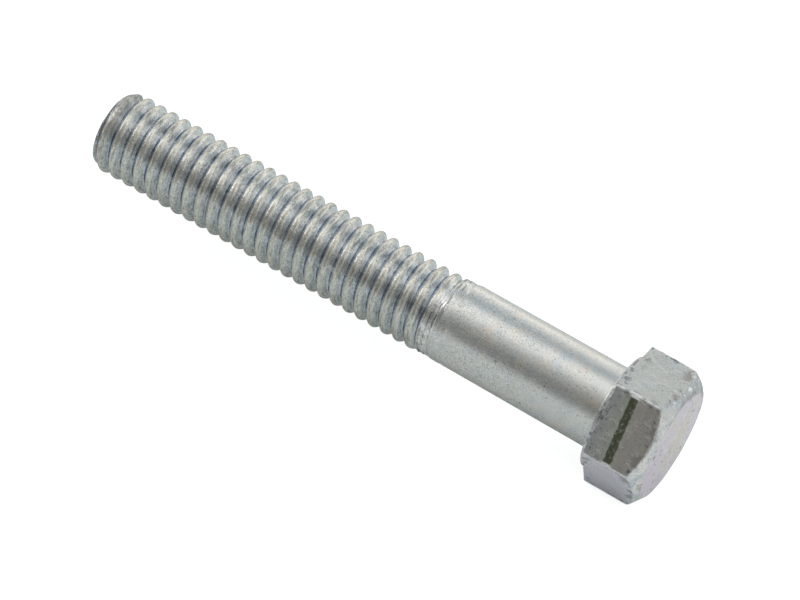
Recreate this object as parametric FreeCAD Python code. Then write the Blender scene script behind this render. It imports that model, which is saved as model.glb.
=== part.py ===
"""Hex bolt with a partly threaded shank: one cold-forged and thread-rolled piece of steel.

The bolt lies along X, as it does on a table: the head is at +X, the tip at -X, and the head's
top flat faces +Z.  The origin is the centre of the bearing face, where the head meets the work.
Everything is in millimetres.
"""
import FreeCAD, Part
import math
import os

# Driving dimensions
SHANK_DIAMETER = 9.46           # plain body under the head
LENGTH = 63.8                   # bearing face to tip
PITCH = 1.5875                  # 16 threads to the inch, right hand
THREAD_DIAMETER = 9.5           # over the crests, where the thread begins
THREAD_TAPER = 0.04             # the crests are this much smaller across at the tip
THREAD_LENGTH = 44.6            # tip to the end of the run-out
RUN_OUT_TURNS = 1.5             # the groove rises out of the blank over this many turns
WIDTH_ACROSS_FLATS = 14.1
HEX_HEIGHT = 6.66               # six-sided part of the head, washer face to top
WASHER_FACE_DIAMETER = 13.1
WASHER_FACE_HEIGHT = 0.58
TOP_CIRCLE_DIAMETER = 12.9      # flat circle on top of the head, inside the chamfer
HEAD_CHAMFER = 38.0             # degrees, measured from the top of the head
UNDER_HEAD_FILLET = 0.4
SHOULDER = 0.1                  # length of the small cone where the shank meets the thread
STUB_IN_HEAD = 1.0              # how far the shank's solid reaches into the head before they are joined
POINT_DIAMETER = 7.9            # flat end of the tip
POINT_LENGTH = 1.2              # cone that leads to the thread

# Thread form, worked out from the pitch
FLANK_ANGLE = math.radians(30.0)
THREAD_DEPTH = 0.6134 * PITCH
ROOT_FLAT = PITCH / 8.0
THREAD_RADIUS = THREAD_DIAMETER / 2.0
ROOT_RADIUS = THREAD_RADIUS - THREAD_DEPTH
CUT_CLEARANCE = 0.15            # how far the groove cutter stands outside the crests
CUT_TOLERANCE = 1e-4            # edges nearer than this count as touching when the groove is cut

AXIS = FreeCAD.Vector(0, 0, 1)  # while it is being made, the bolt hangs from its head along +Z
CENTRE = FreeCAD.Vector(0, 0, 0)


def head():
    """Six-sided head with its washer face below and a cone chamfer round the top."""
    corner_radius = WIDTH_ACROSS_FLATS / math.sqrt(3.0)
    corners = []
    for step in range(7):
        angle = math.radians(30.0 + 60.0 * step)
        corners.append(FreeCAD.Vector(corner_radius * math.cos(angle), corner_radius * math.sin(angle), 0))
    hexagon = Part.Face(Part.makePolygon(corners))
    hexagon.translate(FreeCAD.Vector(0, 0, -WASHER_FACE_HEIGHT))
    prism = hexagon.extrude(FreeCAD.Vector(0, 0, -HEX_HEIGHT))

    top_radius = TOP_CIRCLE_DIAMETER / 2.0
    slope = math.tan(math.radians(HEAD_CHAMFER))
    cone_height = HEX_HEIGHT + STUB_IN_HEAD
    cone = Part.makeCone(top_radius + cone_height / slope, top_radius, cone_height)
    cone.translate(FreeCAD.Vector(0, 0, -cone_height))
    cone.rotate(CENTRE, FreeCAD.Vector(1, 0, 0), 180.0)
    cone.translate(FreeCAD.Vector(0, 0, -WASHER_FACE_HEIGHT - HEX_HEIGHT))
    washer_face = Part.makeCylinder(
        WASHER_FACE_DIAMETER / 2.0, WASHER_FACE_HEIGHT, FreeCAD.Vector(0, 0, -WASHER_FACE_HEIGHT))
    return prism.common(cone).fuse(washer_face)


def blank():
    """Shank and thread blank, turned about the axis: fillet, body, shoulder, thread and point."""
    shank_radius = SHANK_DIAMETER / 2.0
    point_radius = POINT_DIAMETER / 2.0
    fillet = UNDER_HEAD_FILLET
    tip_crest_radius = THREAD_RADIUS - THREAD_TAPER / 2.0
    thread_start = LENGTH - THREAD_LENGTH
    root_of_head = -WASHER_FACE_HEIGHT - STUB_IN_HEAD

    def at(radius, height):
        return FreeCAD.Vector(radius, 0, height)

    arc_middle = at(shank_radius + fillet * (1 - math.sqrt(0.5)), fillet * (1 - math.sqrt(0.5)))
    edges = [
        Part.makeLine(at(0, root_of_head), at(shank_radius + fillet, root_of_head)),
        Part.makeLine(at(shank_radius + fillet, root_of_head), at(shank_radius + fillet, 0)),
        Part.Arc(at(shank_radius + fillet, 0), arc_middle, at(shank_radius, fillet)).toShape(),
        Part.makeLine(at(shank_radius, fillet), at(shank_radius, thread_start)),
        Part.makeLine(at(shank_radius, thread_start), at(THREAD_RADIUS, thread_start + SHOULDER)),
        Part.makeLine(at(THREAD_RADIUS, thread_start + SHOULDER), at(tip_crest_radius, LENGTH - POINT_LENGTH)),
        Part.makeLine(at(tip_crest_radius, LENGTH - POINT_LENGTH), at(point_radius, LENGTH)),
        Part.makeLine(at(point_radius, LENGTH), at(0, LENGTH)),
        Part.makeLine(at(0, LENGTH), at(0, root_of_head)),
    ]
    return Part.Face(Part.Wire(edges)).revolve(CENTRE, AXIS, 360)


def groove_profile():
    """Section of the thread groove in the plane y = 0: flanks of 60 degrees and a flat root."""
    outside = THREAD_RADIUS + CUT_CLEARANCE
    half_root = ROOT_FLAT / 2.0
    half_mouth = half_root + (outside - ROOT_RADIUS) * math.tan(FLANK_ANGLE)
    corners = [
        FreeCAD.Vector(outside, 0, -half_mouth),
        FreeCAD.Vector(ROOT_RADIUS, 0, -half_root),
        FreeCAD.Vector(ROOT_RADIUS, 0, half_root),
        FreeCAD.Vector(outside, 0, half_mouth),
        FreeCAD.Vector(outside, 0, -half_mouth),
    ]
    return Part.makePolygon(corners)


def groove_cutter(turns, rise):
    """Solid of the groove over some turns.  It starts at z = 0 and leaves the blank by rise."""
    height = turns * PITCH
    angle = math.degrees(math.atan2(rise, height))
    helix = Part.makeLongHelix(PITCH, height, ROOT_RADIUS, angle)
    sweep = Part.BRepOffsetAPI.MakePipeShell(Part.Wire(helix.Edges))
    sweep.setFrenetMode(True)
    sweep.add(groove_profile())
    sweep.build()
    sweep.makeSolid()
    return sweep.shape()


def bolt():
    """The whole bolt, laid along X with its top flat up."""
    body = blank()
    full_turns = math.ceil(THREAD_LENGTH / PITCH - RUN_OUT_TURNS) + 1
    run_out_start = LENGTH - THREAD_LENGTH + RUN_OUT_TURNS * PITCH

    full_depth = groove_cutter(full_turns, 0.0)
    full_depth.translate(FreeCAD.Vector(0, 0, run_out_start))
    run_out = groove_cutter(RUN_OUT_TURNS, THREAD_DEPTH + CUT_CLEARANCE)
    run_out.rotate(CENTRE, FreeCAD.Vector(1, 0, 0), 180.0)
    run_out.translate(FreeCAD.Vector(0, 0, run_out_start))
    body = body.cut((full_depth, run_out), CUT_TOLERANCE)

    shape = body.fuse(head())
    shape.rotate(CENTRE, FreeCAD.Vector(0, 1, 0), -90.0)
    return shape


def main():
    os.makedirs("parts", exist_ok=True)
    shape = bolt()
    if not shape.isValid() or len(shape.Solids) != 1:
        raise ValueError("the bolt is not one valid solid")
    shape.Solids[0].exportStep("parts/hex_bolt.step")
    box = shape.optimalBoundingBox()
    print("hex_bolt: %.2f x %.2f x %.2f mm, volume %.0f mm3"
          % (box.XLength, box.YLength, box.ZLength, shape.Volume))


main()
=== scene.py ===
"""Looks of a zinc-plated hex bolt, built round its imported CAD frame.

The bolt lies along X with its head at +X and its bearing face at the origin.  One closed mesh stands
for the whole bolt: a Geometry Nodes tree makes the rolled thread by rule, and rings of vertices
carry it on over the shank, the fillet, the washer face and the six-sided head.  All is in metres.
"""
import logging
import math
from dataclasses import asdict, dataclass, field
from enum import Enum
from functools import reduce
from typing import NamedTuple, Sequence, Union

import bmesh
import bpy
from mathutils import Matrix, Vector, noise


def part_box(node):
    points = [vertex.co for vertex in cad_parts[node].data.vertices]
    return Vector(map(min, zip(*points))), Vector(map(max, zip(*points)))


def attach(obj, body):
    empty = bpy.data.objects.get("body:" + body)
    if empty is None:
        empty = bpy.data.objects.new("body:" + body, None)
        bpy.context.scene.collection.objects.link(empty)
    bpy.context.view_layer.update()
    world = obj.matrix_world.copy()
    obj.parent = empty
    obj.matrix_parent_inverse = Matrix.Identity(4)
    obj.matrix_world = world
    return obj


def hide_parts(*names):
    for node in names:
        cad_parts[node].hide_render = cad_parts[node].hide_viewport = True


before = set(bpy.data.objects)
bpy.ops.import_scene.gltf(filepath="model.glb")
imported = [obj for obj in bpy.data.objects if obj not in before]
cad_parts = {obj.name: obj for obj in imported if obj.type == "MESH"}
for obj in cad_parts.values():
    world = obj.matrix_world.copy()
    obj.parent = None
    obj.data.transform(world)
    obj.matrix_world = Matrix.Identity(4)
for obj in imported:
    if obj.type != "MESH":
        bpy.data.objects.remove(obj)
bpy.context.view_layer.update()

log = logging.getLogger("hex_bolt")

MM = 0.001

Socket = bpy.types.NodeSocket
Term = Union[Socket, float, Sequence[float]]
Inputs = dict[Union[str, int], Term]
Ring = list[bmesh.types.BMVert]
Colour = tuple[float, float, float]


class Graph:
    """Adds nodes to one node tree and joins their sockets."""

    def __init__(self, tree: bpy.types.NodeTree) -> None:
        """Keeps the tree that the nodes go to."""
        self.tree = tree

    def feed(self, socket: Socket, term: Term) -> None:
        """Gives an input socket a link or a plain value.

        Args:
            socket: the input to set.
            term: an output socket to link from, or a number, colour or vector.
        """
        if isinstance(term, bpy.types.NodeSocket):
            self.tree.links.new(term, socket)
        else:
            socket.default_value = term

    def add(self, kind: str, inputs: Inputs | None = None, **settings: object) -> bpy.types.Node:
        """Adds a node.

        Args:
            kind: the node's type name.
            inputs: values or links for its inputs, by name or index.
            settings: properties of the node itself.

        Returns:
            The new node.
        """
        node = self.tree.nodes.new(kind)
        for name, value in settings.items():
            setattr(node, name, value)
        for key, term in (inputs or {}).items():
            self.feed(node.inputs[key], term)
        return node

    def math(self, operation: str, *terms: Term) -> Socket:
        """Adds a Math node on the terms and returns its result."""
        return self.add("ShaderNodeMath", dict(enumerate(terms)), operation=operation).outputs[0]

    def total(self, *terms: Term) -> Socket:
        """Adds terms up."""
        return reduce(lambda done, term: self.math("ADD", done, term), terms)

    def product(self, *terms: Term) -> Socket:
        """Multiplies terms."""
        return reduce(lambda done, term: self.math("MULTIPLY", done, term), terms)

    def largest(self, *terms: Term) -> Socket:
        """Gives the largest of the terms."""
        return reduce(lambda done, term: self.math("MAXIMUM", done, term), terms)

    def minus(self, one: Term, other: Term) -> Socket:
        """Takes the other from the one."""
        return self.math("SUBTRACT", one, other)

    def over(self, one: Term, other: Term) -> Socket:
        """Divides the one by the other."""
        return self.math("DIVIDE", one, other)

    def ramp(self, value: Term, low: Term, high: Term, to_low: Term = 0.0, to_high: Term = 1.0) -> Socket:
        """Maps value smoothly from low..high to to_low..to_high and holds it at the ends."""
        inputs = dict(enumerate((value, low, high, to_low, to_high)))
        return self.add("ShaderNodeMapRange", inputs, interpolation_type="SMOOTHSTEP").outputs[0]

    def vector(self, x: Term, y: Term, z: Term) -> Socket:
        """Puts three numbers together as a vector."""
        return self.add("ShaderNodeCombineXYZ", {0: x, 1: y, 2: z}).outputs[0]

    def dot(self, one: Term, other: Term) -> Socket:
        """Gives the dot product of two vectors."""
        return self.add("ShaderNodeVectorMath", {0: one, 1: other}, operation="DOT_PRODUCT").outputs["Value"]

    def scaled(self, vector: Term, factor: Term) -> Socket:
        """Multiplies a vector or a colour by a number."""
        return self.add("ShaderNodeVectorMath", {0: vector, "Scale": factor}, operation="SCALE").outputs[0]

    def stretched_noise(self, vector: Term, w: Term, detail: float, roughness: float = 0.5) -> Socket:
        """Noise between 0 and 1 over a vector and a fourth number, in spots about 1 across."""
        inputs = {"Vector": vector, "W": w, "Scale": 1.0, "Detail": detail, "Roughness": roughness}
        return self.add("ShaderNodeTexNoise", inputs, noise_dimensions="4D").outputs[0]

    def band(self, place: Term, stops: Sequence[tuple[float, Colour]]) -> Socket:
        """Adds a band of colours that run into each other.

        Args:
            place: where on the band to look, from 0 to 1.
            stops: places on the band and their colours, in order.

        Returns:
            The colour at the place.
        """
        node = self.add("ShaderNodeValToRGB", {0: place})
        elements = node.color_ramp.elements
        while len(elements) < len(stops):
            elements.new(1.0)
        for element, (position, colour) in zip(elements, stops):
            element.position = position
            element.color = (*colour, 1.0)
        return node.outputs[0]


class Patches(NamedTuple):
    """A pattern of soft patches: noise that counts as 0 up to low and as 1 from high on."""

    scale: float                         # spots to a metre
    detail: float
    low: float
    high: float
    shift: float = 0.0                   # keeps two patterns of one kind apart


class FinishGraph(Graph):
    """Graph of a finish, with the place on the object and the patterns that its colours share."""

    def __init__(self, tree: bpy.types.NodeTree) -> None:
        """Reads the place on the object once for all patterns.

        Args:
            tree: the material's node tree.
        """
        super().__init__(tree)
        self.spot = self.add("ShaderNodeTexCoord").outputs["Object"]
        self.x, self.y, self.z = self.add("ShaderNodeSeparateXYZ", {0: self.spot}).outputs
        squares = self.total(self.product(self.y, self.y), self.product(self.z, self.z))
        self.radius = self.math("SQRT", squares)

    def towards(self, side: Sequence[float]) -> Socket:
        """Distance from the bolt's axis towards one side of it."""
        return self.total(self.product(self.y, side[1]), self.product(self.z, side[2]))

    def moved(self, shift: float) -> Socket:
        """Place on the object, moved so that two patterns of one kind differ."""
        inputs = {"Vector": self.spot, "Location": (shift, shift, shift)}
        return self.add("ShaderNodeMapping", inputs).outputs[0]

    def mottle(self, scale: float, detail: float, shift: float = 0.0) -> Socket:
        """Noise between 0 and 1 whose spots are about 1/scale metres across."""
        inputs = {"Vector": self.moved(shift), "Scale": scale, "Detail": detail, "Roughness": 0.6}
        return self.add("ShaderNodeTexNoise", inputs).outputs[0]

    def uneven(self, scale: float, detail: float, shift: float) -> Socket:
        """Mottle that swings about 0 by up to a half."""
        return self.minus(self.mottle(scale, detail, shift), 0.5)

    def patches(self, form: Patches, least: float = 0.0) -> Socket:
        """Lays out patches: 1 inside them, and the least value between them."""
        return self.ramp(self.mottle(form.scale, form.detail, form.shift), form.low, form.high, least, 1.0)

    def specks(self, scale: float, radius: float, share: float, shift: float = 0.0) -> Socket:
        """Lays out round specks in some cells of a random pattern.

        Args:
            scale: cells to a metre.
            radius: radius of a speck, in cells.
            share: how many of the cells hold a speck.
            shift: moves the pattern.

        Returns:
            1 inside the specks and 0 outside them.
        """
        cells = self.add("ShaderNodeTexVoronoi", {"Vector": self.moved(shift), "Scale": scale}).outputs
        chance = self.add("ShaderNodeSeparateColor", {0: cells["Color"]}).outputs[0]
        return self.product(self.ramp(cells["Distance"], radius, radius * 1.8, 1.0, 0.0),
                            self.math("LESS_THAN", chance, share))

    def blend(self, share: Term, one: Term, other: Term) -> Socket:
        """Mixes two colours.

        Args:
            share: 0 for only the one, 1 for only the other.
            one: a socket or a plain colour.
            other: a socket or a plain colour.

        Returns:
            The mixed colour.
        """
        node = self.add("ShaderNodeMix", {0: share}, data_type="RGBA")
        for key, colour in ((6, one), (7, other)):
            self.feed(node.inputs[key], (*colour, 1.0) if isinstance(colour, tuple) else colour)
        return node.outputs[2]


class Flat(Enum):
    """The six flats of the head, counted round from +Y towards +Z."""

    UPPER_BACK = 0
    TOP = 1
    FRONT = 2
    BOTTOM = 3
    UNDERSIDE = 4
    LOWER_BACK = 5

    @property
    def facing(self) -> Vector:
        """Direction that the flat faces."""
        angle = (self.value + 0.5) * SECTOR
        return Vector((0.0, math.cos(angle), math.sin(angle)))


SECTOR = math.tau / len(Flat)            # from one corner of the head to the next


@dataclass(frozen=True)
class ThreadForm:
    """Sizes of the rolled thread, in metres.  Each becomes an input of the thread's tree."""

    pitch: float = 1.5875 * MM
    crest_radius: float = 4.765 * MM
    depth: float = 0.86 * MM
    crest_flat: float = 0.50 * MM
    crest_rounding: float = 0.60 * MM
    root_rounding: float = 0.30 * MM
    crest_start: float = 0.305           # turns from the tip to the crest that crosses +Y
    point_radius: float = 4.00 * MM
    point_length: float = 1.2 * MM
    point_rounding: float = 0.25 * MM    # round edge between the flat end and the point
    point_blend: float = 0.2 * MM        # rounding where the point cuts the crests off
    run_out: float = 2.7 * MM
    neck_radius: float = 4.64 * MM       # where the run-out ends, just before the plain shank
    neck_length: float = 0.2 * MM
    shank_radius: float = 4.73 * MM
    shoulder: float = 0.6 * MM           # length of the rise from the neck to the plain shank
    slant: float = 0.6 * MM              # the run-out ends this far aslant of a plane across the bolt
    ripple: float = 0.045 * MM           # height of the fine rolling lines in the run-out
    ripples_per_pitch: float = 3.0
    lean: float = 0.15 * MM              # how far the thread's axis lies off the shank's at the run-out
    lean_side: tuple[float, float, float] = (0.0, -0.668, -0.744)
    unevenness: float = 0.035 * MM
    segments: int = 144
    rows_per_pitch: int = 16
    seed: int = 7


@dataclass(frozen=True)
class TubeSpot:
    """Where a vertex of the threaded tube lies, as sockets of the thread's tree."""

    x: Socket
    y: Socket                            # y and z of the direction from the axis
    z: Socket
    from_tip: Socket
    phase: Socket                        # pitches from a crest, a whole number on each crest
    to_end: Socket                       # distance to the slanting end of the run-out
    fade: Socket                         # 0 on the full thread, 1 where the run-out ends


class ThreadTree:
    """Geometry Nodes tree that makes the open threaded tube from named sizes."""

    FLANK = math.sqrt(3.0)               # rise of a flank over its run, at 60 degrees between flanks
    KINDS = {float: "NodeSocketFloat", int: "NodeSocketInt", tuple: "NodeSocketVector"}

    def __init__(self, form: ThreadForm, tip: float, end: float) -> None:
        """Makes the tree and its named inputs.

        Args:
            form: the thread's sizes.
            tip: x of the flat end of the bolt.
            end: x where the run-out meets the plain shank.
        """
        sizes = {**asdict(form), "tip": tip, "end": end}
        self.values = {name.replace("_", " ").title(): size for name, size in sizes.items()}
        self.tree = bpy.data.node_groups.new("rolled_thread", "GeometryNodeTree")
        self.keys = {
            label: self.add_input(label, self.KINDS[type(size)]) for label, size in self.values.items()}
        self.keys["Finish"] = self.add_input("Finish", "NodeSocketMaterial")
        self.tree.interface.new_socket(name="Geometry", in_out="OUTPUT", socket_type="NodeSocketGeometry")
        self.g = Graph(self.tree)
        self.size = self.g.add("NodeGroupInput").outputs
        self.build()

    def add_input(self, label: str, kind: str) -> str:
        """Adds a named input to the tree and returns its identifier."""
        return self.tree.interface.new_socket(name=label, in_out="INPUT", socket_type=kind).identifier

    def build(self) -> None:
        """Makes the nodes: a grid is wound into a tube whose rows follow the helix."""
        g, size = self.g, self.size
        turns = g.over(g.minus(size["End"], size["Tip"]), size["Pitch"])
        pitches = g.total(g.math("CEIL", turns), 1.0)
        grid = g.add("GeometryNodeMeshGrid", {
            "Size X": 1.0, "Size Y": 1.0,
            "Vertices X": g.total(size["Segments"], 1.0),
            "Vertices Y": g.total(g.product(pitches, size["Rows Per Pitch"]), 1.0)})
        spot = self.spot(pitches)
        radius = g.minus(self.pointed(spot, self.threaded(spot)), self.dent(spot))
        straight = g.vector(spot.x, g.product(radius, spot.y), g.product(radius, spot.z))
        place = g.add("ShaderNodeVectorMath", {0: straight, 1: self.leaning(spot)}, operation="ADD")
        wound = g.add("GeometryNodeSetPosition", {"Geometry": grid.outputs[0], "Position": place.outputs[0]})
        seam = 0.0005 * MM
        merged = g.add("GeometryNodeMergeByDistance", {"Geometry": wound.outputs[0], "Distance": seam})
        real = g.add("GeometryNodeRealizeInstances", {"Geometry": merged.outputs[0]})
        dressed = g.add("GeometryNodeSetMaterial", {"Geometry": real.outputs[0], "Material": size["Finish"]})
        g.add("NodeGroupOutput", {"Geometry": dressed.outputs[0]})

    def spot(self, pitches: Socket) -> TubeSpot:
        """Winds the grid's flat places round the axis.

        Args:
            pitches: how many pitches long the grid is.

        Returns:
            The place of a vertex on the tube.
        """
        g, size = self.g, self.size
        place = g.add("ShaderNodeSeparateXYZ", {0: g.add("GeometryNodeInputPosition").outputs[0]}).outputs
        turn = g.total(place[0], 0.5)
        along = g.product(g.total(place[1], 0.5), pitches)
        raw = g.total(size["Tip"], g.product(size["Pitch"], g.total(along, turn, -1.0)))
        x = g.math("MINIMUM", g.largest(raw, size["Tip"]), size["End"])
        angle = g.product(turn, math.tau)
        y, z = g.math("COSINE", angle), g.math("SINE", angle)
        from_tip = g.minus(x, size["Tip"])
        phase = g.minus(g.over(from_tip, size["Pitch"]), g.total(turn, size["Crest Start"]))
        side = g.dot(g.vector(0.0, y, z), size["Lean Side"])
        aslant = g.product(size["Slant"], g.total(side, 1.0))
        to_end = g.minus(g.minus(g.minus(size["End"], size["Shoulder"]), aslant), x)
        fade = g.ramp(to_end, size["Run Out"], size["Neck Length"])
        return TubeSpot(x, y, z, from_tip, phase, to_end, fade)

    def threaded(self, spot: TubeSpot) -> Socket:
        """Makes the thread, its run-out and the shoulder up to the plain shank.

        Args:
            spot: the place on the tube.

        Returns:
            The radius there.
        """
        g, size = self.g, self.size
        off_crest = g.product(g.math("PINGPONG", spot.phase, 0.5), size["Pitch"])
        flank = g.product(g.minus(off_crest, g.product(size["Crest Flat"], 0.5)), self.FLANK)
        valley = g.math("SMOOTH_MIN", flank, size["Depth"], size["Root Rounding"])
        lifted = g.minus(valley, g.product(spot.fade, size["Depth"]))
        drop = g.math("SMOOTH_MAX", lifted, 0.0, size["Crest Rounding"])
        narrowing = g.minus(size["Neck Radius"], size["Crest Radius"])
        crest = g.total(size["Crest Radius"], g.product(spot.fade, narrowing))
        worn = g.vector(g.product(spot.x, 600.0), g.product(spot.y, 2.5), g.product(spot.z, 2.5))
        patchy = g.ramp(g.stretched_noise(worn, g.total(size["Seed"], 5.0), 1.0), 0.35, 0.65, 0.2, 1.4)
        wave = g.math("SINE", g.product(spot.phase, g.product(size["Ripples Per Pitch"], math.tau)))
        lines = g.product(wave, size["Ripple"], spot.fade, g.ramp(spot.to_end, 0.0, 0.4 * MM), patchy)
        up_shoulder = g.ramp(spot.to_end, 0.0, g.product(size["Shoulder"], -1.0))
        rise = g.product(g.minus(size["Shank Radius"], size["Neck Radius"]), up_shoulder)
        return g.total(crest, g.product(drop, -1.0), lines, rise)

    def pointed(self, spot: TubeSpot, threaded: Socket) -> Socket:
        """Cuts the tip to a cone with a round edge.

        Args:
            spot: the place on the tube.
            threaded: the radius of the thread there.

        Returns:
            The radius with the point cut.
        """
        g, size = self.g, self.size
        slope = g.over(g.minus(size["Crest Radius"], size["Point Radius"]), size["Point Length"])
        cone = g.total(size["Point Radius"], g.product(spot.from_tip, slope))
        rounding = size["Point Rounding"]
        near_tip = g.largest(g.minus(rounding, spot.from_tip), 0.0)
        chord = g.minus(g.math("POWER", rounding, 2.0), g.math("POWER", near_tip, 2.0))
        rounded = g.minus(cone, g.minus(rounding, g.math("SQRT", chord)))
        return g.math("SMOOTH_MIN", threaded, rounded, size["Point Blend"])

    def dent(self, spot: TubeSpot) -> Socket:
        """Makes the unevenness of the rolled surface.

        Args:
            spot: the place on the tube.

        Returns:
            How far the surface is sunk there.
        """
        g, size = self.g, self.size
        lumpy = g.vector(g.product(spot.x, 900.0), g.product(spot.y, 4.0), g.product(spot.z, 4.0))
        lumps = g.stretched_noise(lumpy, size["Seed"], 2.0)
        off_point = g.ramp(spot.from_tip, 0.0, size["Point Length"])
        off_end = g.ramp(spot.to_end, 0.0, size["Pitch"])
        return g.product(lumps, size["Unevenness"], g.product(off_point, off_end))

    def leaning(self, spot: TubeSpot) -> Socket:
        """Lets the thread's axis lean a little off the shank's.

        Args:
            spot: the place on the tube.

        Returns:
            The vector by which the place moves aside.
        """
        g, size = self.g, self.size
        along = g.over(spot.from_tip, g.minus(size["End"], size["Tip"]))
        share = g.product(along, g.ramp(spot.to_end, 0.0, size["Run Out"]), size["Lean"])
        return g.scaled(size["Lean Side"], share)

    def mesh(self, name: str, finish: bpy.types.Material) -> bpy.types.Mesh:
        """Runs the tree once and keeps the result as a plain mesh.

        Args:
            name: the mesh's name.
            finish: the material that the tree sets.

        Returns:
            The threaded tube, open at both ends.
        """
        carrier = bpy.data.objects.new(name, bpy.data.meshes.new(name))
        bpy.context.scene.collection.objects.link(carrier)
        modifier = carrier.modifiers.new("rolled_thread", "NODES")
        modifier.node_group = self.tree
        for label, value in {**self.values, "Finish": finish}.items():
            modifier[self.keys[label]] = value
        seen = carrier.evaluated_get(bpy.context.evaluated_depsgraph_get())
        tube = bpy.data.meshes.new_from_object(seen)
        carrier.modifiers.remove(modifier)
        bpy.data.objects.remove(carrier)
        return tube


@dataclass(frozen=True)
class Dents:
    """Forging unevenness of one size, in metres."""

    size: float
    depth: float

    def at(self, place: Vector) -> float:
        """How far the surface is sunk at a place."""
        return self.depth * 0.5 * (1.0 + noise.noise(place / self.size))


@dataclass(frozen=True)
class HeadForm:
    """Sizes of the head, in metres."""

    across_flats: float = 14.0 * MM
    washer_face_height: float = 0.58 * MM
    washer_face_radius: float = 6.55 * MM
    washer_face_rounding: float = 0.12 * MM
    washer_face_flare: float = 0.03 * MM
    washer_face_crease: float = 0.08 * MM
    top_radius: float = 6.45 * MM
    chamfer: float = math.radians(38.0)
    corner_rounding: float = 0.12 * MM
    underside_rounding: float = 0.14 * MM
    edge_rounding: float = 0.16 * MM
    top_rounding: float = 0.20 * MM
    tear_height: float = 3.16 * MM       # from the bearing face to the middle of the trimming tear
    tear_width: float = 0.98 * MM
    tear_depth: float = 0.10 * MM
    tear_slant: float = 0.06
    tear_waver: Dents = Dents(0.5 * MM, 0.16 * MM)
    tear_grain: float = 0.25 * MM
    # Each torn flat, with its share of the tear's depth
    tears: tuple[tuple[Flat, float], ...] = ((Flat.FRONT, 1.0), (Flat.LOWER_BACK, 0.8))
    aside: tuple[float, float, float] = (0.0, 0.040 * MM, 0.044 * MM)   # the head's axis off the shank's
    flat_dents: Dents = Dents(3.2 * MM, 0.03 * MM)
    chamfer_dents: Dents = Dents(0.7 * MM, 0.04 * MM)
    top_dents: tuple[Dents, ...] = (Dents(2.4 * MM, 0.02 * MM), Dents(0.8 * MM, 0.02 * MM))
    pit_size: float = 0.55 * MM
    pit_depth: float = 0.10 * MM


class Corner(NamedTuple):
    """A corner of the head's outline, in the plane through the axis."""

    x: float
    radius: float
    rounding: float = 0.0
    rows: int = 0                        # spans of the mesh from the corner before to this one


def off_axis(x: float, radius: float, angle: float) -> Vector:
    """Place at a height, a distance from the axis and an angle from +Y."""
    return Vector((x, radius * math.cos(angle), radius * math.sin(angle)))


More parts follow.
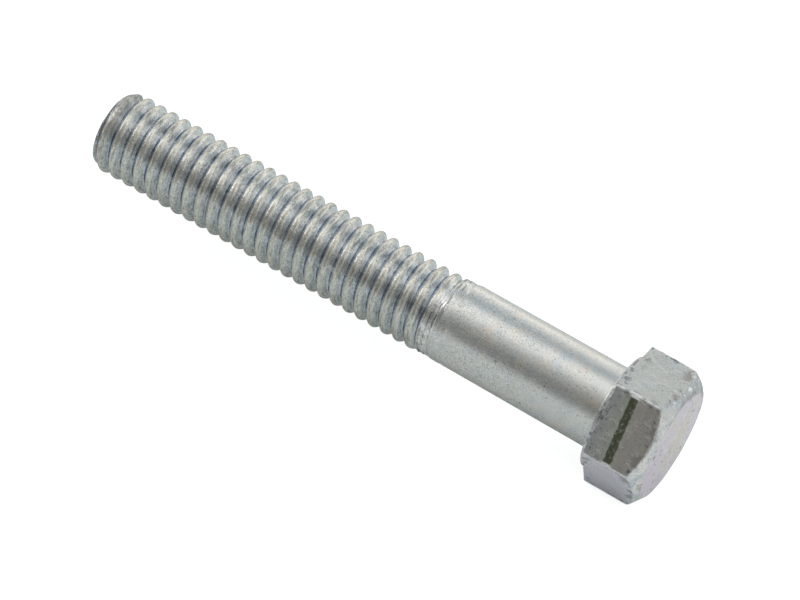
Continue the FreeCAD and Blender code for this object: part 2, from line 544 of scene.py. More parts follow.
@dataclass
class Bolt:
    """The whole bolt: thread, point, shank and head in one closed mesh."""

    tip: float
    top: float
    thread: ThreadForm = ThreadForm()
    head: HeadForm = HeadForm()
    shank_spread: float = 0.045 * MM     # the shank's radius grows by this much towards the head
    shank_end: float = -18.8 * MM        # where the thread's run-out meets the plain shank
    shank_dents: Dents = Dents(2.6 * MM, 0.018 * MM)
    calm_by_thread: float = 1.5 * MM     # the shank's dents fade out over these lengths at its ends
    calm_by_head: float = 2.0 * MM
    row_length: float = 0.45 * MM        # length of a face along the shank
    fillet: float = 0.4 * MM
    fillet_rows: int = 6
    top_rings: int = 22
    grow: bmesh.types.BMesh = field(default_factory=bmesh.new, init=False)

    def build(self, name: str, finish: bpy.types.Material) -> bpy.types.Object:
        """Makes the bolt's object.

        Args:
            name: the object's name.
            finish: its material.

        Returns:
            The object, at the origin, with one closed mesh.
        """
        mesh = ThreadTree(self.thread, self.tip, self.shank_end).mesh(name, finish)
        self.grow.from_mesh(mesh)
        self.close_tip(self.end_loop(self.tip))
        self.add_head(self.add_shank(self.end_loop(self.shank_end)))
        bmesh.ops.recalc_face_normals(self.grow, faces=self.grow.faces[:])
        for face in self.grow.faces:
            face.smooth = True
            face.material_index = 0
        self.grow.to_mesh(mesh)
        self.grow.free()
        mesh.materials.clear()
        mesh.materials.append(finish)
        mesh.name = name
        bolt = bpy.data.objects.new(name, mesh)
        bpy.context.scene.collection.objects.link(bolt)
        return bolt

    def end_loop(self, x: float) -> Ring:
        """Finds an open edge of the threaded tube.

        Args:
            x: where the edge lies.

        Returns:
            Its vertices, in order round the axis.
        """
        tolerance = 0.001 * MM
        loop = [v for v in self.grow.verts if v.is_boundary and abs(v.co.x - x) < tolerance]
        if len(loop) != self.thread.segments:
            raise ValueError(f"the tube's end at {x} has {len(loop)} vertices")
        return sorted(loop, key=lambda v: math.atan2(v.co.z, v.co.y) % math.tau)

    def add_ring(self, last: Ring, places: Sequence[Vector]) -> Ring:
        """Adds a ring of vertices and the faces that join it to the last ring.

        Args:
            last: the ring to go on from.
            places: the new vertices' places, in the same order round the axis.

        Returns:
            The new ring.
        """
        ring = [self.grow.verts.new(place) for place in places]
        count = len(ring)
        for i in range(count):
            j = (i + 1) % count
            self.grow.faces.new((last[i], last[j], ring[j], ring[i]))
        return ring

    def close(self, last: Ring, centre: Vector) -> None:
        """Closes the last ring with a fan of triangles.

        Args:
            last: the ring to close.
            centre: the place where the triangles meet.
        """
        middle = self.grow.verts.new(centre)
        for i, vertex in enumerate(last):
            self.grow.faces.new((vertex, last[(i + 1) % len(last)], middle))

    def close_tip(self, loop: Ring) -> None:
        """Closes the flat end of the bolt, with narrow rows at its edge to keep it looking flat there.

        Args:
            loop: the open edge of the threaded tube at the tip.
        """
        border = 0.16 * MM
        edge = [v.co.copy() for v in loop]
        ring = loop
        for share in (0.25, 0.50, 0.75, 1.00):
            inset = border * (1.0 - math.cos(share * math.pi / 2))
            ring = self.add_ring(ring, [Vector((p.x, *(p.yz * (1.0 - inset / p.yz.length)))) for p in edge])
        inner = [v.co.copy() for v in ring]
        for share in (0.8, 0.55, 0.3, 0.1):
            ring = self.add_ring(ring, [Vector((p.x, *(p.yz * share))) for p in inner])
        self.close(ring, Vector((self.tip, 0.0, 0.0)))

    def shank_stations(self) -> list[tuple[float, float]]:
        """Places the rows of the shank and of the fillet under the head.

        Returns:
            The x and the radius of each row, from the run-out to the head.
        """
        radius = self.thread.shank_radius
        length = -self.fillet - self.shank_end
        count = round(length / self.row_length)
        stations = [(self.shank_end + length * i / count, radius) for i in range(1, count + 1)]
        for i in range(1, self.fillet_rows + 1):
            turn = i / self.fillet_rows * math.pi / 2
            x = -self.fillet * (1.0 - math.sin(turn))
            stations.append((x, radius + self.fillet * (1.0 - math.cos(turn))))
        return stations

    def add_shank(self, loop: Ring) -> Ring:
        """Adds the plain shank from the run-out to the bearing face.

        Args:
            loop: the open edge of the threaded tube at the run-out.

        Returns:
            The last ring of the fillet.
        """
        ring = loop
        angles = [i / self.thread.segments * math.tau for i in range(self.thread.segments)]
        for x, radius in self.shank_stations():
            near_head = 1.0 - min(1.0, x / self.shank_end)
            spread = radius + self.shank_spread * near_head
            settled = min(1.0, -x / self.calm_by_head, (x - self.shank_end) / self.calm_by_thread)
            places = []
            for angle in angles:
                sink = self.shank_dents.at(off_axis(x, radius, angle)) * settled
                places.append(off_axis(x, spread - sink, angle))
            ring = self.add_ring(ring, places)
        return ring

    def head_angles(self) -> list[float]:
        """Spreads the rays of the head's mesh round the axis.

        Returns:
            Angles from +Y, closer together at the six corners.
        """
        corner = [math.radians(a) for a in (-2.0, -1.3, -0.9, -0.45, 0.0, 0.45, 0.9, 1.3, 2.0)]
        flat_count = self.thread.segments // len(Flat) - len(corner)
        flat_step = (SECTOR + corner[0] - corner[-1]) / (flat_count + 1)
        angles: list[float] = []
        for flat in Flat:
            base = flat.value * SECTOR
            angles += [base + a for a in corner]
            angles += [base + corner[-1] + flat_step * (i + 1) for i in range(flat_count)]
        return angles

    def hexagon_radius(self, angle: float) -> float:
        """Measures the hexagon with rounded corners.

        Args:
            angle: the direction, from +Y.

        Returns:
            Distance from the axis to the hexagon's edge.
        """
        form = self.head
        rounding = form.corner_rounding
        off_corner = (angle + SECTOR / 2) % SECTOR - SECTOR / 2
        centre = (form.across_flats / 2 - rounding) / math.cos(SECTOR / 2)
        tangent = math.atan2(rounding * math.sin(SECTOR / 2), centre + rounding * math.cos(SECTOR / 2))
        if abs(off_corner) > tangent:
            return form.across_flats / 2 / math.cos(SECTOR / 2 - abs(off_corner))
        reach = rounding ** 2 - (centre * math.sin(off_corner)) ** 2
        return centre * math.cos(off_corner) + math.sqrt(reach)

    def head_corners(self, angle: float) -> list[Corner]:
        """Gives the corners of the head's outline in one plane through the axis.

        Args:
            angle: the plane's angle round the axis, from +Y.

        Returns:
            The corners from the fillet to the middle of the top.
        """
        form = self.head
        rim = self.hexagon_radius(angle)
        under = form.washer_face_height
        crease = self.top - (rim - form.top_radius) * math.tan(form.chamfer)
        return [
            Corner(0.0, self.thread.shank_radius + self.shank_spread + self.fillet),
            Corner(0.0, form.washer_face_radius, form.washer_face_rounding, 3),
            Corner(under, form.washer_face_radius + form.washer_face_flare, form.washer_face_crease, 1),
            Corner(under, rim, form.underside_rounding, 8),
            Corner(crease, rim, form.edge_rounding, 24),
            Corner(self.top, form.top_radius, form.top_rounding, 9),
            Corner(self.top, 0.0),
        ]

    def head_outline(self, angle: float) -> list[tuple[float, float]]:
        """Draws the head's outline with its corners rounded.

        Args:
            angle: the plane's angle round the axis, from +Y.

        Returns:
            Points (x, radius) from bearing face to top, the same number at every angle.
        """
        arc_spans = 4
        corners = self.head_corners(angle)
        points: list[tuple[float, float]] = []
        for before, here, after in zip(corners, corners[1:], corners[2:]):
            spot = Vector(here[:2])
            back = (Vector(before[:2]) - spot).normalized() * here.rounding
            on = (Vector(after[:2]) - spot).normalized() * here.rounding
            previous = Vector(points[-1]) if points else Vector(before[:2])
            points += [tuple(previous.lerp(spot + back, i / here.rows)) for i in range(1, here.rows)]
            for i in range(arc_spans + 1):
                t = i / arc_spans
                points.append(tuple(spot + back * (1 - t) ** 2 + on * t ** 2))
        return points

    def tear(self, place: Vector, angle: float) -> float:
        """Cuts the ragged band that trimming left on some flats.

        Args:
            place: a place on the head.
            angle: its angle from +Y, in one turn.

        Returns:
            How deep the tear is there.
        """
        form = self.head
        flat = Flat(math.floor(angle / SECTOR) % len(Flat))
        across = (angle - (flat.value + 0.5) * SECTOR) * form.across_flats / 2
        ragged = form.tear_waver.depth * noise.noise(place / form.tear_waver.size)
        off = abs(place.x - form.tear_height - form.tear_slant * across - ragged) / (form.tear_width / 2)
        strength = dict(form.tears).get(flat, 0.0)
        if off >= 1.0 or strength == 0.0:
            return 0.0
        rough = 0.7 + 0.5 * noise.noise(place / form.tear_grain)
        return strength * form.tear_depth * rough * (1.0 - off ** 4)

    def add_head(self, last: Ring) -> None:
        """Adds the washer face, the six flats, the chamfer and the top, and closes the bolt.

        Args:
            last: the last ring of the fillet.
        """
        form = self.head
        angles = self.head_angles()
        outlines = [self.head_outline(angle) for angle in angles]
        ring = last
        places: list[Vector] = []
        for row in zip(*outlines):
            places = []
            for angle, (x, radius) in zip(angles, row):
                rim = off_axis(x, radius, angle)
                sink = form.flat_dents.at(rim) if x > form.washer_face_height else 0.0
                sink += form.chamfer_dents.at(rim) * self.near_chamfer(x, radius)
                sink += self.tear(rim, angle % math.tau)
                place = off_axis(x, radius - sink, angle)
                places.append(place + Vector(form.aside) * min(1.0, x / form.washer_face_height))
            ring = self.add_ring(ring, places)
        for step in range(1, self.top_rings):
            share = 1.0 - step / self.top_rings
            inner = [Vector((self.face_height(p * share), *(p.yz * share))) for p in places]
            ring = self.add_ring(ring, inner)
        self.close(ring, Vector((self.face_height(Vector((self.top, 0.0, 0.0))), 0.0, 0.0)))

    def near_chamfer(self, x: float, radius: float) -> float:
        """Gives 1 on the chamfer, falling to 0 on the flats below it."""
        level = (x - self.top) / math.tan(self.head.chamfer) + radius - self.head.top_radius
        return min(1.0, max(0.0, 1.0 + level / (0.5 * MM)))

    def face_height(self, place: Vector) -> float:
        """Gives x of the top face at a place, with its shallow dents and pits."""
        pit = max(0.0, noise.noise(place / self.head.pit_size) - 0.25) * self.head.pit_depth
        return self.top - sum(dents.at(place) for dents in self.head.top_dents) - pit


@dataclass(frozen=True)
class HeadSpot:
    """Where a point of the head lies, as sockets of the finish."""

    out_front: Socket                    # distance from the axis towards the front flat
    on_front: Socket                     # 1 on the front flat and 0 off it
    on_bottom: Socket                    # the same for the bottom flat
    ragged: Socket                       # uneven shift of the borders between zones
    from_tear: Socket                    # height above the middle of the tear
    level: Socket                        # distance outside the cone of the chamfer, negative inside it
    to_corner: Socket                    # distance along a flat from its middle, largest at its corners


@dataclass(frozen=True)
class ZincPlate:
    """Bright zinc plating over forged and rolled steel."""

    bolt: Bolt
    shank: Colour = (0.79, 0.80, 0.78)
    shank_cool: Colour = (0.67, 0.73, 0.76)
    shank_warm: Colour = (0.86, 0.78, 0.70)
    # Thread colours are painted light: each face of a ridge has the tint it reflects, the valley colour is a
    # painted shade line with a pale painted highlight beside it
    crest: Colour = (0.72, 0.70, 0.61)
    tipward_shoulder: Colour = (0.80, 0.77, 0.80)
    headward_flank: Colour = (0.74, 0.80, 0.79)
    valley: Colour = (0.12, 0.15, 0.20)
    valley_edge_highlight: Colour = (0.72, 0.84, 0.98)
    flats: Colour = (0.69, 0.71, 0.69)
    front_left: Colour = (0.62, 0.65, 0.59)
    front_cool: Colour = (0.60, 0.63, 0.63)
    front_right: Colour = (0.62, 0.59, 0.56)
    # painted light: the bottom flat is paler than the other flats, standing in for the floor's light it
    # reflects
    bottom_flat_painted_light: Colour = (0.90, 0.89, 0.95)
    # the chamfer's two colours are painted light on its lower side and painted shade on its upper side
    chamfer_painted_light: Colour = (0.98, 0.97, 0.93)
    chamfer_painted_shade: Colour = (0.56, 0.59, 0.59)
    chamfer_cool: Colour = (0.64, 0.70, 0.76)
    top_face: Colour = (0.92, 0.84, 0.93)
    top_peach: Colour = (0.90, 0.83, 0.76)
    tear: Colour = (0.130, 0.145, 0.095)
    tear_bits: Colour = (0.40, 0.43, 0.36)
    speck: Colour = (0.22, 0.24, 0.26)
    nick: Colour = (0.24, 0.24, 0.28)
    brown: Colour = (0.42, 0.39, 0.37)
    bright: Colour = (0.97, 0.98, 0.98)

    cool_patches: Patches = Patches(700.0, 4.0, 0.45, 0.70)
    warm_patches: Patches = Patches(620.0, 4.0, 0.50, 0.72, 0.03)
    speck_crowds: Patches = Patches(330.0, 3.0, 0.38, 0.60, 0.09)
    head_lumps: Patches = Patches(900.0, 4.0, 0.50, 0.68, 0.13)
    thread_patches: Patches = Patches(900.0, 3.0, 0.40, 0.66, 0.05)
    tip_pits: Patches = Patches(1900.0, 4.0, 0.44, 0.58, 0.27)
    run_out_glints: Patches = Patches(700.0, 3.0, 0.52, 0.58, 0.31)
    flat_blotches: Patches = Patches(500.0, 4.0, 0.44, 0.70, 0.02)
    torn_bits: Patches = Patches(2600.0, 3.0, 0.52, 0.74, 0.07)
    nicks: Patches = Patches(1500.0, 4.0, 0.53, 0.60, 0.21)
    rust: Patches = Patches(520.0, 4.0, 0.52, 0.60, 0.32)
    corner_glints: Patches = Patches(900.0, 3.0, 0.38, 0.56, 0.17)
    chamfer_blue: Patches = Patches(620.0, 4.0, 0.44, 0.60, 0.14)
    chamfer_glints: Patches = Patches(1500.0, 3.0, 0.56, 0.66, 0.25)
    peach_patches: Patches = Patches(240.0, 4.0, 0.42, 0.66, 0.12)
    top_pits: Patches = Patches(1100.0, 3.0, 0.62, 0.70, 0.19)
    top_sparks: Patches = Patches(1300.0, 3.0, 0.56, 0.62, 0.23)
    rim_soil: Patches = Patches(950.0, 4.0, 0.52, 0.60, 0.35)

    roughness: float = 0.30
    bump_strength: float = 0.6
    bump_depth: float = 0.03 * MM
    fine_lines: float = 1.9 * MM         # length of the fine lines before the plain shank

    def material(self, name: str) -> bpy.types.Material:
        """Makes the node material.

        Args:
            name: the material's name.

        Returns:
            The material, which reads only Object coordinates.
        """
        material = bpy.data.materials.new(name)
        material.use_nodes = True
        material.node_tree.nodes.clear()
        g = FinishGraph(material.node_tree)
        to_end = self.to_run_out_end(g)
        on_thread = g.ramp(to_end, -0.1 * MM, 0.3 * MM)
        on_head = g.ramp(g.x, 0.0, 0.3 * MM)

        thread, rolling, dull = self.thread_colour(g, to_end)
        head, torn = self.head_colour(g)
        colour = g.blend(on_head, g.blend(on_thread, self.shank_colour(g), thread), head)
        grain = g.uneven(6500.0, 3.0, 0.04)
        mist = g.total(0.97, g.product(grain, g.ramp(g.x, -13.0 * MM, -5.0 * MM, 1.30, 0.55)))
        spotted = self.spotted(g)
        colour = g.blend(spotted, g.scaled(colour, mist), self.speck)

        patchy = g.product(g.uneven(1300.0, 4.0, 0.06), 0.20)
        rough = g.total(self.roughness, patchy, g.product(on_head, 0.07), g.product(torn, 0.25),
                        g.product(on_thread, dull))
        height = g.total(
            g.product(g.mottle(5000.0, 3.0), 0.5),
            g.product(g.mottle(1100.0, 2.0, 0.08), 0.6),
            g.product(spotted, -0.8),
            g.product(rolling, on_thread, 2.6),
            g.product(g.patches(self.head_lumps), on_head, 1.8),
            g.product(torn, g.mottle(3200.0, 3.0, 0.03), 2.5))
        bump = g.add("ShaderNodeBump", {
            "Strength": self.bump_strength, "Distance": self.bump_depth, "Height": height})
        shader = g.add("ShaderNodeBsdfPrincipled", {
            "Base Color": colour, "Metallic": 1.0, "Roughness": rough, "Normal": bump.outputs[0]})
        g.add("ShaderNodeOutputMaterial", {"Surface": shader.outputs[0]})
        return material

    def spotted(self, g: FinishGraph) -> Socket:
        """Scatters dark specks, which crowd together in some places and near the tip.

        Args:
            g: the finish's graph.

        Returns:
            How strongly a speck shows, from 0 to 1.
        """
        tip = self.bolt.tip
        large = g.specks(1500.0, 0.11, 0.16, shift=0.02)
        small = g.specks(3600.0, 0.22, 0.60)
        near_tip = g.ramp(g.x, tip + 2.6 * MM, tip + 1.2 * MM, 0.0, 0.5)
        crowding = g.largest(g.patches(self.speck_crowds, least=0.10), near_tip)
        return g.product(g.largest(large, g.product(small, 0.55)), crowding, 0.85)

    def shank_colour(self, g: FinishGraph) -> Socket:
        """Colours the plain shank: grey with faint cool and warm patches.

        Args:
            g: the finish's graph.

        Returns:
            The colour.
        """
        cool = g.product(g.patches(self.cool_patches), 0.7)
        warm = g.product(g.patches(self.warm_patches), 0.7)
        return g.blend(warm, g.blend(cool, self.shank, self.shank_cool), self.shank_warm)

    def side(self, g: FinishGraph) -> Socket:
        """Place round the bolt: 1 on the side that the thread leans to, -1 on the opposite one."""
        return g.over(g.towards(self.bolt.thread.lean_side), g.radius)

    def to_run_out_end(self, g: FinishGraph) -> Socket:
        """Measures along the bolt to the slanting end of the run-out.

        Args:
            g: the finish's graph.

        Returns:
            The distance, negative on the plain shank.
        """
        form = self.bolt.thread
        nearest = self.bolt.shank_end - form.shoulder - form.slant
        return g.minus(g.total(nearest, g.product(self.side(g), -form.slant)), g.x)

    def thread_bands(self, g: FinishGraph, from_valley: Socket) -> Socket:
        """Colours one ridge of the thread, from the valley on its tip side to the next one, with painted
        light: each face carries the tint of the light it reflects, the valley a dark painted shade line and
        its edges a pale painted highlight.

        Args:
            g: the finish's graph.
            from_valley: place across the ridge, from 0 to 1.

        Returns:
            The colour.
        """
        return g.band(from_valley, (
            (0.00, self.valley), (0.035, self.valley),
            (0.06, self.valley_edge_highlight),
            (0.10, self.tipward_shoulder), (0.32, self.tipward_shoulder),
            (0.40, self.crest), (0.62, self.crest),
            (0.70, self.headward_flank), (0.91, self.headward_flank),
            (0.945, self.valley_edge_highlight),
            (0.975, self.valley)))

    def thread_colour(self, g: FinishGraph, to_end: Socket) -> tuple[Socket, Socket, Socket]:
        """Colours the thread, with its fine rolling lines, grit and glints, painted shade on the upper side
        of the point and painted light and dark bands in the run-out.

        Args:
            g: the finish's graph.
            to_end: distance to the end of the run-out.

        Returns:
            The colour, the height of the fine lines, and how much duller the thread is.
        """
        form, tip = self.bolt.thread, self.bolt.tip
        turn = g.over(g.math("ARCTAN2", g.z, g.y), math.tau)
        along = g.over(g.minus(g.x, tip), form.pitch)
        from_valley = g.math("FRACT", g.total(along, g.product(turn, -1.0), 0.5 - form.crest_start))
        colour = self.thread_bands(g, from_valley)
        colour = g.blend(g.product(g.patches(self.thread_patches), 0.5), colour, self.shank)

        # Painted shade: in the run-out the colour has light and dark fine bands, the shading of the shallow
        # rolling ripples
        ripple = g.math("PINGPONG", g.product(from_valley, form.ripples_per_pitch), 0.5)
        fine = g.ramp(ripple, 0.05, 0.22, 0.45, 1.0)
        near_end = g.ramp(to_end, self.fine_lines, self.fine_lines / 2)
        colour = g.blend(near_end, colour, g.scaled(self.shank, fine))
        near_tip = g.ramp(g.x, tip + 2.2 * MM, tip + 0.8 * MM)
        colour = g.blend(g.product(g.patches(self.tip_pits), near_tip, 0.75), colour, self.brown)
        glints = g.product(g.patches(self.run_out_glints), near_end, 0.9)
        colour = g.blend(glints, colour, self.bright)

        wobble = g.vector(g.product(from_valley, 9.0), g.product(g.y, 500.0), g.product(g.z, 500.0))
        lines = g.stretched_noise(wobble, g.product(g.x, 150.0), 3.0, 0.75)
        flecks = g.vector(g.product(from_valley, 12.0), g.product(g.y, 1100.0), g.product(g.z, 1100.0))
        grit = g.stretched_noise(flecks, g.product(g.x, 400.0), 3.0, 0.7)
        # Painted shade: near the tip the colour is darker towards the upper side
        tip_upper_shade = g.ramp(near_tip, 0.0, 1.0, 1.0, g.ramp(self.side(g), -0.3, 0.7, 0.76, 1.0))
        shade = g.product(
            g.ramp(lines, 0.36, 0.47, 0.60, 1.01), g.ramp(grit, 0.38, 0.53, 0.79, 1.09), tip_upper_shade)
        end_face = g.ramp(g.x, tip + 0.20 * MM, tip + 0.02 * MM)
        colour = g.blend(end_face, g.scaled(colour, shade), self.shank_cool)

        polished = g.product(g.ramp(from_valley, 0.06, 0.12), g.ramp(from_valley, 0.40, 0.30))
        dull = g.total(g.ramp(polished, 0.0, 1.0, -0.03, -0.13), g.product(near_tip, 0.15))
        return colour, g.total(lines, g.product(grit, 0.55)), dull

    def head_spot(self, g: FinishGraph) -> HeadSpot:
        """Measures where a point of the head lies.

        Args:
            g: the finish's graph.

        Returns:
            The point's distances from the head's edges.
        """
        form = self.bolt.head
        front, bottom = Flat.FRONT.facing, Flat.BOTTOM.facing
        out_front, out_bottom = g.towards(front), g.towards(bottom)
        across = g.towards((0.0, -front.z, front.y))
        blur = 0.04 * MM
        on_front = g.ramp(g.minus(out_front, g.largest(out_bottom, g.z)), -blur, blur)
        on_bottom = g.ramp(g.minus(out_bottom, g.largest(out_front, g.product(g.z, -1.0))), -blur, blur)
        ragged = g.product(g.uneven(1800.0, 3.0, 0.01), 0.35 * MM)
        from_tear = g.total(g.x, -form.tear_height, g.product(across, -form.tear_slant), ragged)
        drop = g.product(g.minus(self.bolt.top, g.x), 1.0 / math.tan(form.chamfer))
        level = g.total(g.radius, g.product(drop, -1.0), -form.top_radius)
        out = g.largest(*(g.math("ABSOLUTE", reach) for reach in (g.z, out_front, out_bottom)))
        to_corner = g.math("SQRT", g.minus(g.product(g.radius, g.radius), g.product(out, out)))
        return HeadSpot(out_front, on_front, on_bottom, ragged, from_tear, level, to_corner)

    def head_colour(self, g: FinishGraph) -> tuple[Socket, Socket]:
        """Colours the head.

        Args:
            g: the finish's graph.

        Returns:
            The colour, and where the front flat is torn, from 0 to 1.
        """
        spot = self.head_spot(g)
        colour = g.blend(g.product(g.patches(self.flat_blotches), 0.5), self.flats, self.shank_cool)
        # Painted light: the bottom flat gets a paler colour than the other flats
        colour = g.blend(spot.on_bottom, colour, self.bottom_flat_painted_light)
        colour = g.blend(spot.on_front, colour, self.front_colour(g, spot))
        half = self.bolt.head.tear_width / 2
        inside = g.ramp(g.math("ABSOLUTE", spot.from_tear), half - 0.15 * MM, half + 0.08 * MM, 1.0, 0.0)
        torn = g.product(inside, spot.on_front)
        colour = g.blend(torn, colour, g.blend(g.patches(self.torn_bits), self.tear, self.tear_bits))
        colour = self.wear(g, spot, colour)
        on_chamfer = g.ramp(g.total(spot.level, g.product(spot.ragged, 0.3)), -0.34 * MM, -0.18 * MM)
        colour = g.blend(on_chamfer, colour, self.chamfer_colour(g))
        return self.top_colour(g, on_chamfer, colour), torn

    def front_colour(self, g: FinishGraph, spot: HeadSpot) -> Socket:
        """Colours the front flat, which differs on the two sides of its tear.

        Args:
            g: the finish's graph.
            spot: the place on the head.

        Returns:
            The colour.
        """
        left = g.blend(g.ramp(g.x, 2.4 * MM, 1.0 * MM), self.front_left, self.front_cool)
        return g.blend(g.ramp(spot.from_tear, -0.1 * MM, 0.1 * MM), left, self.front_right)

    def wear(self, g: FinishGraph, spot: HeadSpot, colour: Socket) -> Socket:
        """Adds dark nicks and faint rust by the edges, and painted highlights along the corners and at the
        ends of the tear.

        Args:
            g: the finish's graph.
            spot: the place on the head.
            colour: the colour of the flats.

        Returns:
            The colour with the wear.
        """
        near_edge = g.largest(
            g.ramp(spot.level, -1.3 * MM, -0.5 * MM),
            g.ramp(g.x, 1.9 * MM, 0.8 * MM),
            g.ramp(spot.to_corner, 3.2 * MM, 3.9 * MM))
        colour = g.blend(g.product(g.patches(self.nicks), near_edge, 0.85), colour, self.nick)
        rusty = g.product(g.patches(self.rust), g.ramp(spot.level, -2.2 * MM, -0.8 * MM), 0.75)
        colour = g.blend(rusty, colour, self.brown)
        # Painted highlights: bright patches along the corners and at the ends of the tear
        worn = g.product(g.ramp(spot.to_corner, 3.78 * MM, 3.95 * MM), g.patches(self.corner_glints))
        tear_end_glints = g.product(
            g.ramp(g.math("ABSOLUTE", spot.from_tear), 0.9 * MM, 0.4 * MM),
            g.ramp(spot.to_corner, 3.60 * MM, 3.80 * MM),
            g.ramp(spot.out_front, 5.5 * MM, 6.2 * MM))
        return g.blend(g.largest(worn, tear_end_glints), colour, self.bright)

    def chamfer_colour(self, g: FinishGraph) -> Socket:
        """Colours the chamfer with painted light and shade: paler on its lower side and darker above, with
        bluish patches and painted glints.

        Args:
            g: the finish's graph.

        Returns:
            The colour.
        """
        # Painted light and shade: paler towards the lower side, darker towards the top
        lower = g.ramp(g.towards(self.bolt.thread.lean_side), -5.0 * MM, 1.0 * MM)
        rim = g.blend(lower, self.chamfer_painted_shade, self.chamfer_painted_light)
        rim = g.blend(g.product(g.patches(self.chamfer_blue), 0.8), rim, self.chamfer_cool)
        return g.blend(g.patches(self.chamfer_glints), rim, self.bright)

    def top_colour(self, g: FinishGraph, on_chamfer: Socket, colour: Socket) -> Socket:
        """Adds the top face and the soiling at its rim.

        Args:
            g: the finish's graph.
            on_chamfer: 1 on the chamfer and the top, 0 on the flats.
            colour: the colour of the flats and the chamfer.

        Returns:
            The colour with the top face.
        """
        top, rim = self.bolt.top, self.bolt.head.top_radius
        wavy = g.product(g.uneven(600.0, 3.0, 0.15), 2.4 * MM)
        on_top = g.product(
            g.ramp(g.x, top - 0.30 * MM, top - 0.18 * MM),
            g.ramp(g.total(g.radius, wavy), rim - 0.5 * MM, rim - 0.1 * MM, 1.0, 0.0))
        face = g.blend(g.patches(self.peach_patches), self.top_face, self.top_peach)
        face = g.blend(g.product(g.patches(self.top_pits), 0.8), face, self.nick)
        face = g.blend(g.product(g.patches(self.top_sparks), 0.9), face, self.bright)
        colour = g.blend(on_top, colour, face)
        at_rim = g.product(
            g.ramp(g.radius, rim - 1.6 * MM, rim - 0.6 * MM),
            g.ramp(g.radius, rim + 0.5 * MM, rim + 0.1 * MM), on_chamfer)
        return g.blend(g.product(g.patches(self.rim_soil), at_rim, 0.55), colour, self.brown)


# The light round the bolt, from the horizon in front (0 degrees) over the top to the one behind (180)
SKY_BANDS = (
    (0.0, (0.34, 0.34, 0.33)),
    (17.0, (0.20, 0.20, 0.19)),
    (32.0, (0.245, 0.245, 0.235)),
    (52.0, (0.42, 0.42, 0.41)),
    (68.0, (0.70, 0.70, 0.68)),
    (80.0, (1.02, 1.02, 0.99)),
    (98.0, (0.98, 0.98, 0.96)),
    (114.0, (0.37, 0.41, 0.43)),
    (132.0, (0.50, 0.54, 0.56)),
    (150.0, (0.90, 0.89, 0.86)),
    (166.0, (1.20, 1.17, 1.11)),
    (180.0, (0.52, 0.50, 0.49)),
)


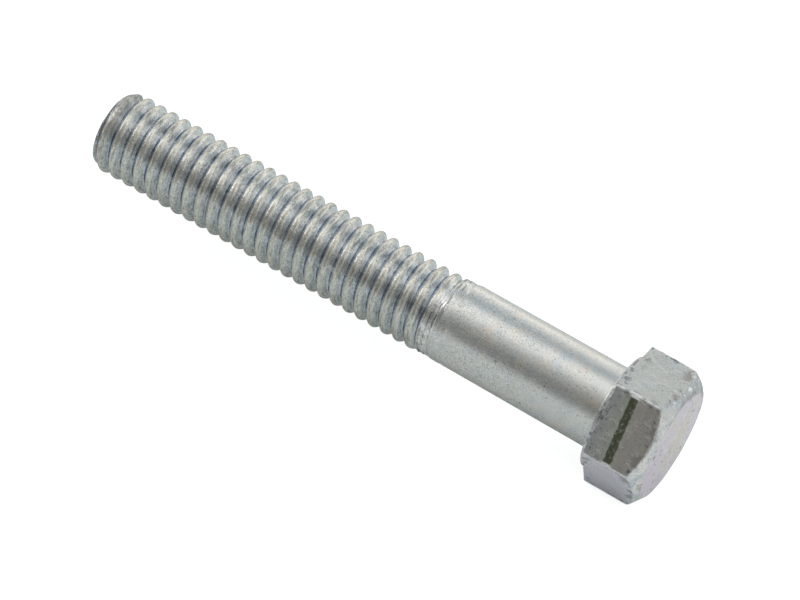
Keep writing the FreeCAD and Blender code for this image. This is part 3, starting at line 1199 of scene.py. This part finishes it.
@dataclass(frozen=True)
class Studio:
    """Pale floor, soft light and camera."""

    floor_height: float
    floor_half: float = 6.0
    floor_colour: Colour = (0.91, 0.95, 0.96)
    floor_glow: float = 0.72             # light of the floor's own, which only the camera sees
    backdrop: Colour = (0.95, 0.95, 0.95)
    azimuth: float = math.radians(19.86)
    elevation: float = math.radians(40.0)
    roll: float = math.radians(-16.55)
    distance: float = 452.4 * MM
    target: tuple[float, float, float] = (-26.06 * MM, -0.60 * MM, -0.68 * MM)
    end_light: tuple[float, float, float] = (-0.985, 0.10, 0.14)   # towards the small light beyond the tip
    end_light_edge: tuple[float, float] = (0.965, 0.990)           # cosines of its outer and inner edge
    end_light_strength: float = 4.0
    lens: float = 191.15
    sensor: float = 36.0

    def floor(self) -> None:
        """Makes a wide plain floor under the bolt."""
        half = self.floor_half
        mesh = bpy.data.meshes.new("floor")
        corners = [(-half, -half), (half, -half), (half, half), (-half, half)]
        mesh.from_pydata([(a, b, self.floor_height) for a, b in corners], [], [(0, 1, 2, 3)])
        material = bpy.data.materials.new("floor")
        material.use_nodes = True
        material.node_tree.nodes.clear()
        g = Graph(material.node_tree)
        seen = g.add("ShaderNodeLightPath").outputs["Is Camera Ray"]
        shader = g.add("ShaderNodeBsdfPrincipled", {
            "Base Color": (*self.floor_colour, 1.0), "Roughness": 0.9,
            "Emission Color": (1.0, 1.0, 1.0, 1.0), "Emission Strength": g.product(seen, self.floor_glow)})
        g.add("ShaderNodeOutputMaterial", {"Surface": shader.outputs[0]})
        mesh.materials.append(material)
        floor = bpy.data.objects.new("floor", mesh)
        bpy.context.scene.collection.objects.link(floor)

    def surroundings(self) -> None:
        """Lights the scene with soft bands that run the length of the bolt."""
        world = bpy.data.worlds.new("studio")
        bpy.context.scene.world = world
        world.use_nodes = True
        world.node_tree.nodes.clear()
        g = Graph(world.node_tree)
        ray = g.add("ShaderNodeTexCoord").outputs["Generated"]
        _, y, z = g.add("ShaderNodeSeparateXYZ", {0: ray}).outputs
        half_turn = g.over(g.math("ARCTAN2", z, g.product(y, -1.0)), math.pi)
        bands = g.band(half_turn, [(degrees / 180.0, colour) for degrees, colour in SKY_BANDS])
        seen = g.add("ShaderNodeLightPath").outputs["Is Camera Ray"]
        strength = g.ramp(g.dot(ray, self.end_light), *self.end_light_edge, 1.0, self.end_light_strength)
        sky = g.add("ShaderNodeBackground", {"Color": bands, "Strength": strength})
        pale = g.add("ShaderNodeBackground", {"Color": (*self.backdrop, 1.0), "Strength": 1.0})
        mix = g.add("ShaderNodeMixShader", {0: seen, 1: sky.outputs[0], 2: pale.outputs[0]})
        g.add("ShaderNodeOutputWorld", {"Surface": mix.outputs[0]})

    def camera(self) -> None:
        """Makes the camera, which looks down on the bolt from the head's side."""
        a, e = self.azimuth, self.elevation
        back = Vector((math.sin(a) * math.cos(e), -math.cos(a) * math.cos(e), math.sin(e)))
        data = bpy.data.cameras.new("camera")
        data.lens = self.lens
        data.sensor_width = self.sensor
        data.clip_start = 0.01
        data.clip_end = 30.0
        camera = bpy.data.objects.new("camera", data)
        level = Vector((math.cos(a), math.sin(a), 0.0))
        upright = back.cross(level)
        right = level * math.cos(self.roll) - upright * math.sin(self.roll)
        up = back.cross(right)
        place = Vector(self.target) + back * self.distance
        turned = Matrix((right, up, back)).transposed()
        camera.matrix_world = Matrix.Translation(place) @ turned.to_4x4()
        bpy.context.scene.collection.objects.link(camera)
        bpy.context.scene.camera = camera


def main() -> None:
    """Builds the bolt and its studio."""
    logging.basicConfig(level=logging.INFO, format="%(name)s: %(message)s")
    bpy.context.scene.view_settings.view_transform = "Standard"
    lowest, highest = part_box("hex_bolt")
    form = Bolt(tip=lowest[0], top=highest[0])
    bolt = form.build("bolt", ZincPlate(form).material("zinc_plate"))
    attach(bolt, "root")
    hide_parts("hex_bolt")
    log.info("bolt: %d faces", len(bolt.data.polygons))

    studio = Studio(floor_height=lowest[2])
    studio.floor()
    studio.surroundings()
    studio.camera()


if __name__ == "__main__":
    main()
